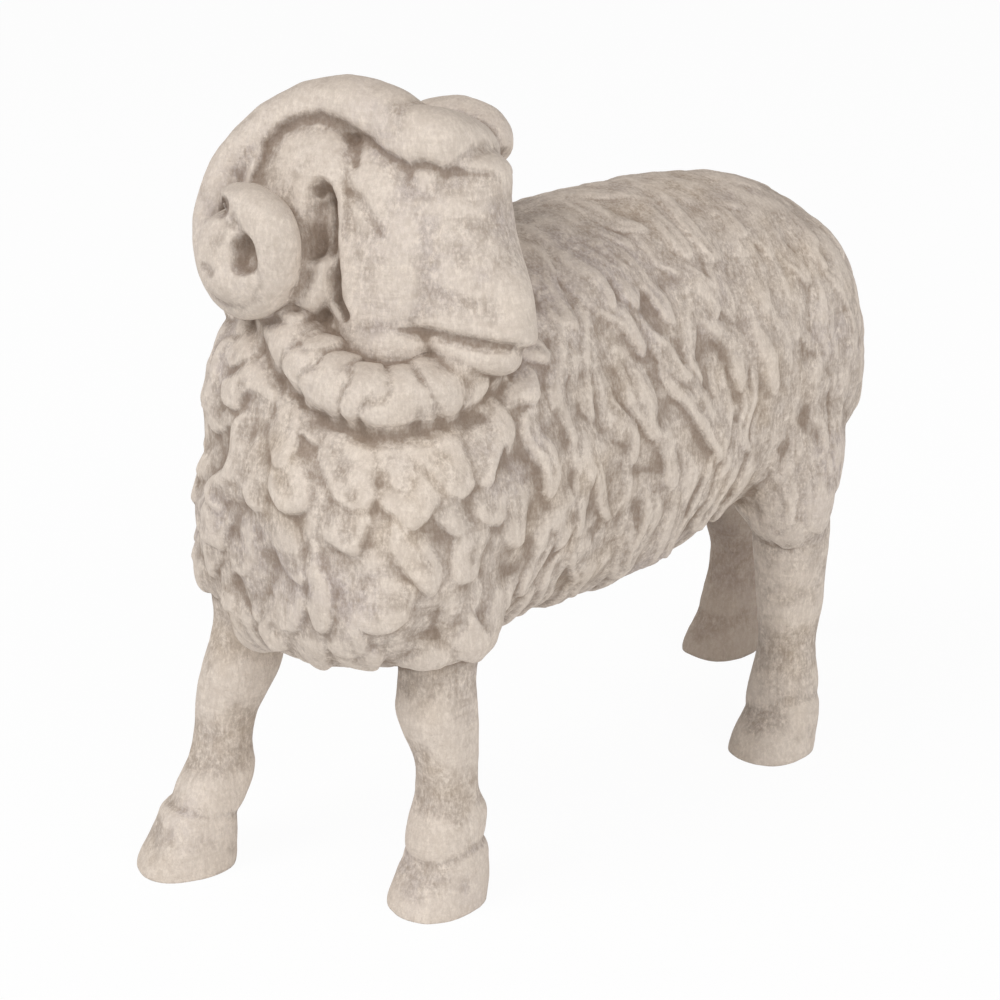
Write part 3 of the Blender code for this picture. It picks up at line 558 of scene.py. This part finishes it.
def heightOverLine(flat, line):
    # how far points lie above a line that runs backwards on the side of the head, below 0 under it
    best = np.full(len(flat), 1e9)
    for a, b in zip(line, line[1:]):
        a, b = np.array(a), np.array(b)
        step = b - a
        share = np.clip((flat - a) @ step / (step @ step), 0, 1)
        gap = flat - a - share[:, None] * step
        far = np.linalg.norm(gap, axis=1) * -np.sign(step[0] * gap[:, 1] - step[1] * gap[:, 0])
        best = np.where(np.abs(far) < np.abs(best), far, best)
    return best


cuts = {
    # points are ahead, up on the side of the head; then radius, depth
    "earSlot": ([(-6.2, -1.4), (-6.1, -3.6), (-6.1, -6.0)], 2.3, 2.3),
    "pit": ([(-12.0, -7.6), (-11.9, -8.8)], 2.1, 1.9),
    "pitBud": ([(-11.6, -8.7), (-11.6, -9.0)], 0.8, -0.5),
    "earEdge": ([(-7.2, 0.1), (-6.4, 0.7), (-5.6, 0.3), (-5.0, -1.2), (-4.7, -4.2), (-4.2, -7.5), (-3.3, -12.0),
                 (-2.2, -13.6)], 1.0, 1.4),
    "templeLine": ([(-3.9, 6.6), (-3.1, 5.2), (-2.7, 3.6)], 0.8, 0.5),
    "cheekFold": ([(-2.6, 0.2), (-1.2, -0.5), (0.2, -2.0), (1.7, -3.8)], 0.9, 0.3),
    "nostril": ([(8.6, -9.6), (10.4, -10.4), (12.4, -10.6)], 0.9, 0.22),
    "hornNotch": ([(-18.2, -3.2), (-15.6, -3.0)], 1.5, 1.5),
    "hornDent": ([(-17.2, -10.2), (-16.4, -10.8)], 1.1, 0.3),
    "eye": ([(5.7, 2.6), (6.1, 2.6)], 1.5, -0.4),
}
edges = {
    # the lower side of the line is cut back; then reach, depth
    "hornRim": ([(13.5, 4.9), (10.3, 4.4), (7.3, 4.4), (5.7, 4.7), (4.0, 4.3), (0.9, 5.4), (-2.4, 7.1),
                 (-5.0, 8.4), (-8.1, 9.0), (-10.8, 8.3), (-13.1, 7.0), (-14.7, 5.0), (-15.4, 2.8)], 4.5, 1.1),
    "lip": ([(19.5, -13.9), (16.1, -14.4), (14.1, -14.5), (10.1, -14.1), (7.7, -13.8), (5.8, -14.0)], 1.8, 1.1),
}


carving = {"ahead": 24, "heights": (-18.5, 14), "blade": 0.35, "coilInside": 11.6}


def carveHead(skin):
    points, normals = readSkin(skin)
    skull, ahead, right, up = [np.array(v) for v in headAxes()]
    local = (points - skull) @ np.stack([ahead, right, up], 1)
    flat = local[:, [0, 2]]
    low, high = carving["heights"]
    inReach = (np.abs(local[:, 0]) < carving["ahead"]) & (local[:, 2] > low) & (local[:, 2] < high)
    for side in (1, -1):
        out = local[:, 1] * side
        facing = np.clip(normals @ right * side * 1.6, 0, 1) * inReach * (out > 1.5)
        if side < 0:
            facing *= 1 - ramped(out, 10.0, 12.0)  # the wool close to the left cheek stays
        for line, reach, depth in edges.values():
            over = heightOverLine(flat, line)
            sunk = np.clip(1 + over / reach, 0, 1) * (1 - np.tanh(over / carving["blade"])) / 2
            points -= right * side * (depth * sunk * facing)[:, None]
        for name, (line, radius, depth) in cuts.items():
            near = np.clip(1 - (distanceToLine(flat, line) / radius) ** 2, 0, 1) ** 1.3
            if name.startswith("ear"):
                near *= out < carving["coilInside"]  # the coil beside the ear stays whole
            points -= right * side * (depth * near * facing)[:, None]
    writeSkin(skin, points)


def sawSoles(skin):
    selectOnly(skin)
    bpy.ops.object.mode_set(mode="EDIT")
    bpy.ops.mesh.select_all(action="SELECT")
    bpy.ops.mesh.bisect(plane_co=(0, 0, 0), plane_no=(0, 0, 1), use_fill=True, clear_inner=True)
    bpy.ops.mesh.select_all(action="SELECT")
    bpy.ops.mesh.quads_convert_to_tris()
    bpy.ops.object.mode_set(mode="OBJECT")


def writeLayer(skin, name, values):
    layer = skin.data.attributes.new(name, "FLOAT", "POINT")
    layer.data.foreach_set("value", values.astype(np.float32))


def markHollows(skin):
    # a value at each point: above 0 where it lies deeper than its surroundings, below 0 where it stands out;
    # the wood paint turns these into painted shade in hollows and creases and a painted highlight on crests
    points, normals = readSkin(skin)
    pairs = np.empty(len(skin.data.edges) * 2, dtype=np.int32)
    skin.data.edges.foreach_get("vertices", pairs)
    a, b = pairs.reshape(-1, 2).T
    ends, starts = np.concatenate([a, b]), np.concatenate([b, a])
    count = np.bincount(ends, minlength=len(points))
    for name, rounds in (("hollow", 40), ("groove", 8)):
        eased = points.copy()
        for k in range(rounds):
            eased = np.stack([np.bincount(ends, eased[starts, c], len(points)) / count for c in range(3)], 1)
        writeLayer(skin, name, ((eased - points) * normals).sum(1) * 1000)


def markPaintedShade(skin):
    # painted shade: darker on the right hind leg, which stands in shade, and, more faintly, along the
    # upward-facing top of the back and horns, where the light from above is strongest
    points, normals = readSkin(skin)
    x, y, z = (points * 1000).T
    hindLeg = ramped(x, 2, -6) * ramped(y, 8, 26) * ramped(z, 52, 30)
    top = 0.42 * ramped(normals[:, 2], 0.35, 0.95) * ramped(z, 60, 72)
    writeLayer(skin, "paintedShade", np.maximum(hindLeg, top))


def placeRam(skin):
    # to metres, in the middle of the CAD box and level with its underside
    points, _ = readSkin(skin)
    low, high = points.min(0), points.max(0)
    cadLow, cadHigh = np.array(cadBox[0]), np.array(cadBox[1])
    shift = (cadLow + cadHigh) / 2 - (low + high) / 2 * metre
    shift[2] = cadLow[2] - low[2] * metre
    writeSkin(skin, points * metre + shift)
    selectOnly(skin)
    bpy.ops.object.shade_smooth()
    return shift


ram = {
    "cell": 0.34, "easing": 2, "lastEasing": 3, "triangles": 197000,
    # distance apart, seed, height
    "toolMarks": ((3.0, 8, 0.10), (1.3, 9, 0.06)),
}


def makeRam():
    woolBody = makeBody()
    plain = [a.copy() for a in readSkin(woolBody)]
    skin = fuseForms([woolBody] + makeLegs() + makeHead(), ram["cell"], ram["easing"])
    print("one block:", len(skin.data.polygons), "faces")
    carveWool(skin, *plain)
    print("the fleece is carved")
    carveHead(skin)
    easeSkin(skin, ram["lastEasing"])
    points, normals = readSkin(skin)
    writeSkin(skin, points + normals * lumpsOver(points, ram["toolMarks"])[:, None])
    sawSoles(skin)
    thin = skin.modifiers.new("thin", "DECIMATE")
    thin.ratio = min(1, ram["triangles"] / len(skin.data.polygons))
    applyModifiers(skin)
    skin.name = "carvedRam"
    shift = placeRam(skin)
    markHollows(skin)
    markPaintedShade(skin)
    print("the ram has", len(skin.data.polygons), "triangles")
    return skin, Vector(shift)


wood = {
    # deep is the brown of painted shade in hollows, creases, on the right hind leg and on the tops; cream is
    # both pale wood and the painted highlight on crests
    "cream": (0.83, 0.73, 0.635, 1), "pale": (0.63, 0.55, 0.485, 1), "mid": (0.49, 0.42, 0.365, 1),
    "lilac": (0.50, 0.435, 0.42, 1), "tan": (0.58, 0.475, 0.37, 1), "streak": (0.37, 0.295, 0.235, 1),
    "deep": (0.18, 0.12, 0.08, 1), "roughness": 0.8, "shine": 0.2,
}
grain = {
    # stretch along x, y, z, then how fine, how detailed, how rough
    "mottle": ((1, 1, 0.7), 150, 5, 0.6), "patch": ((1, 1, 1), 75, 3, 0.6),
    "dapple": ((1, 1, 0.8), 620, 6, 0.7), "fibre": ((1, 1, 0.10), 1500, 4, 0.6),
    "hatch": ((0.25, 0.25, 1.6), 1100, 4, 0.6), "speck": ((1, 1, 0.55), 2300, 4, 0.75),
}
tints = (
    # each is laid over the ones before: what steers it, where it starts, where it is strongest, how strong
    ("mottle", 0.36, 0.64, 1, "pale"), ("patch", 0.52, 0.66, 0.7, "lilac"), ("patch", 0.47, 0.34, 0.6, "tan"),
    ("dapple", 0.50, 0.66, 0.75, "cream"), ("dapple", 0.46, 0.28, 0.5, "streak"),
    ("fibre", 0.53, 0.70, 0.6, "streak"), ("hatch", 0.50, 0.72, 0.5, "streak"),
    ("speck", 0.46, 0.70, 0.72, "streak"), ("speck", 0.50, 0.30, 0.6, "cream"),
    # painted light: the first groove mark lightens crests to cream as a painted highlight, the hollow mark and
    # the second groove mark darken recesses and creases as painted shade
    ("groove", -0.02, -0.14, 0.5, "cream"), ("hollow", 0.05, 0.9, 0.45, "deep"),
    # the last mark is painted shade on the right hind leg and on the tops of the back and horns
    ("groove", 0.03, 0.17, 0.5, "deep"), ("paintedShade", 0, 1, 0.58, "deep"),
)
# the fine relief: what steers it, strength, height in metres
relief = (("dapple", 0.6, 0.0006), ("fibre", 0.5, 0.0003), ("hatch", 0.45, 0.0003), ("speck", 0.5, 0.0002))


def noiseOn(tree, source, stretch, scale, detail, rough):
    mapping = tree.nodes.new("ShaderNodeMapping")
    mapping.inputs["Scale"].default_value = stretch
    tree.links.new(source, mapping.inputs["Vector"])
    noise = tree.nodes.new("ShaderNodeTexNoise")
    noise.inputs["Scale"].default_value = scale
    noise.inputs["Detail"].default_value = detail
    noise.inputs["Roughness"].default_value = rough
    tree.links.new(mapping.outputs["Vector"], noise.inputs["Vector"])
    return noise.outputs["Fac"]


def readLayer(tree, name):
    layer = tree.nodes.new("ShaderNodeAttribute")
    layer.attribute_name = name
    return layer.outputs["Fac"]


def remap(tree, source, low, high, most):
    # 0 at low and most at high
    node = tree.nodes.new("ShaderNodeMapRange")
    node.inputs["From Min"].default_value = low
    node.inputs["From Max"].default_value = high
    node.inputs["To Min"].default_value = 0
    node.inputs["To Max"].default_value = most
    tree.links.new(source, node.inputs["Value"])
    return node.outputs["Result"]


def mixColour(tree, share, base, over):
    node = tree.nodes.new("ShaderNodeMix")
    node.data_type = "RGBA"
    tree.links.new(share, node.inputs["Factor"])
    for colour, socket in ((base, node.inputs[6]), (over, node.inputs[7])):
        if isinstance(colour, tuple):
            socket.default_value = colour
        else:
            tree.links.new(colour, socket)
    return node.outputs[2]


def paintWood(skin):
    material = bpy.data.materials.new("paleWood")
    material.use_nodes = True
    tree = material.node_tree
    shader = tree.nodes["Principled BSDF"]
    shader.inputs["Roughness"].default_value = wood["roughness"]
    shader.inputs["Specular IOR Level"].default_value = wood["shine"]
    place = tree.nodes.new("ShaderNodeTexCoord").outputs["Object"]
    steers = {name: noiseOn(tree, place, *values) for name, values in grain.items()}
    steers.update({name: readLayer(tree, name) for name in ("hollow", "groove", "paintedShade")})
    colour = wood["mid"]
    for name, start, full, most, tint in tints:
        colour = mixColour(tree, remap(tree, steers[name], start, full, most), colour, wood[tint])
    tree.links.new(colour, shader.inputs["Base Color"])
    last = None
    for name, strong, distance in relief:
        bump = tree.nodes.new("ShaderNodeBump")
        bump.inputs["Strength"].default_value = strong
        bump.inputs["Distance"].default_value = distance
        tree.links.new(steers[name], bump.inputs["Height"])
        if last:
            tree.links.new(last, bump.inputs["Normal"])
        last = bump.outputs["Normal"]
    tree.links.new(last, shader.inputs["Normal"])
    skin.data.materials.clear()
    skin.data.materials.append(material)
    print("the wood is painted")


studio = {
    "floor": 3.0, "whiteShare": 0.95,
    "keyPlace": (-0.20, -0.80, 0.80), "keySize": 0.6, "keyPower": 5.2,
    "fillPlace": (0.85, -0.15, 0.45), "fillSize": 0.8, "fillPower": 3.8,
    "sky": 0.49,
}


def seenDirectly(tree):
    # 1 for what the camera sees, also through glass and in a gloss
    rays = tree.nodes.new("ShaderNodeLightPath")
    share = rays.outputs["Is Camera Ray"]
    for ray in ("Is Glossy Ray", "Is Transmission Ray"):
        most = tree.nodes.new("ShaderNodeMath")
        most.operation = "MAXIMUM"
        tree.links.new(share, most.inputs[0])
        tree.links.new(rays.outputs[ray], most.inputs[1])
        share = most.outputs["Value"]
    return share


def makeStudio():
    deselectAll()
    bpy.ops.mesh.primitive_plane_add(size=studio["floor"], location=(0, 0, 0))
    floor = bpy.context.object
    floor.name = "paleFloor"
    material = bpy.data.materials.new("palePaper")
    material.use_nodes = True
    shader = material.node_tree.nodes["Principled BSDF"]
    shader.inputs["Base Color"].default_value = (0.9, 0.9, 0.9, 1)
    shader.inputs["Roughness"].default_value = 0.9
    shader.inputs["Specular IOR Level"].default_value = 0.0
    tree = material.node_tree
    glow = tree.nodes.new("ShaderNodeEmission")
    glow.inputs["Color"].default_value = (1, 1, 1, 1)
    part = tree.nodes.new("ShaderNodeMath")
    part.operation = "MULTIPLY"
    part.inputs[1].default_value = studio["whiteShare"]
    tree.links.new(seenDirectly(tree), part.inputs[0])
    mix = tree.nodes.new("ShaderNodeMixShader")
    tree.links.new(part.outputs["Value"], mix.inputs["Fac"])
    tree.links.new(shader.outputs["BSDF"], mix.inputs[1])
    tree.links.new(glow.outputs["Emission"], mix.inputs[2])
    tree.links.new(mix.outputs["Shader"], tree.nodes["Material Output"].inputs["Surface"])
    floor.data.materials.append(material)

    sky = bpy.data.worlds.new("studioSky")
    sky.use_nodes = True
    tree = sky.node_tree
    light = tree.nodes["Background"]
    light.inputs["Color"].default_value = (1, 1, 1, 1)
    light.inputs["Strength"].default_value = studio["sky"]
    seen = tree.nodes.new("ShaderNodeBackground")
    seen.inputs["Color"].default_value = (1, 1, 1, 1)
    mix = tree.nodes.new("ShaderNodeMixShader")
    tree.links.new(seenDirectly(tree), mix.inputs["Fac"])
    tree.links.new(light.outputs["Background"], mix.inputs[1])
    tree.links.new(seen.outputs["Background"], mix.inputs[2])
    tree.links.new(mix.outputs["Shader"], tree.nodes["World Output"].inputs["Surface"])
    bpy.context.scene.world = sky

    for name in ("key", "fill"):
        deselectAll()
        place = Vector(studio[name + "Place"])
        bpy.ops.object.light_add(type="AREA", location=place)
        lamp = bpy.context.object
        lamp.name = name + "Light"
        lamp.data.size = studio[name + "Size"]
        lamp.data.energy = studio[name + "Power"]
        lamp.rotation_euler = (Vector((0, 0, 0.05)) - place).to_track_quat("-Z", "Y").to_euler()
    print("the studio is lit")


camera = {"place": (181.27, -144.91, 127.65), "pitch": 18.778, "turn": 47.0, "lens": 72.0}


def makeCamera(shift):
    deselectAll()
    bpy.ops.object.camera_add(location=Vector(camera["place"]) * metre + shift)
    view = bpy.context.object
    view.name = "photoCamera"
    view.rotation_euler = (math.radians(90 - camera["pitch"]), 0, math.radians(camera["turn"]))
    view.data.lens = camera["lens"]
    view.data.sensor_width = 36
    view.data.clip_start = 0.01
    view.data.clip_end = 20
    bpy.context.scene.camera = view


carvedRam, shift = makeRam()
paintWood(carvedRam)
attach(carvedRam, "root")
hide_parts("ram_figurine")
makeStudio()
makeCamera(shift)
bpy.context.scene.view_settings.view_transform = "Standard"
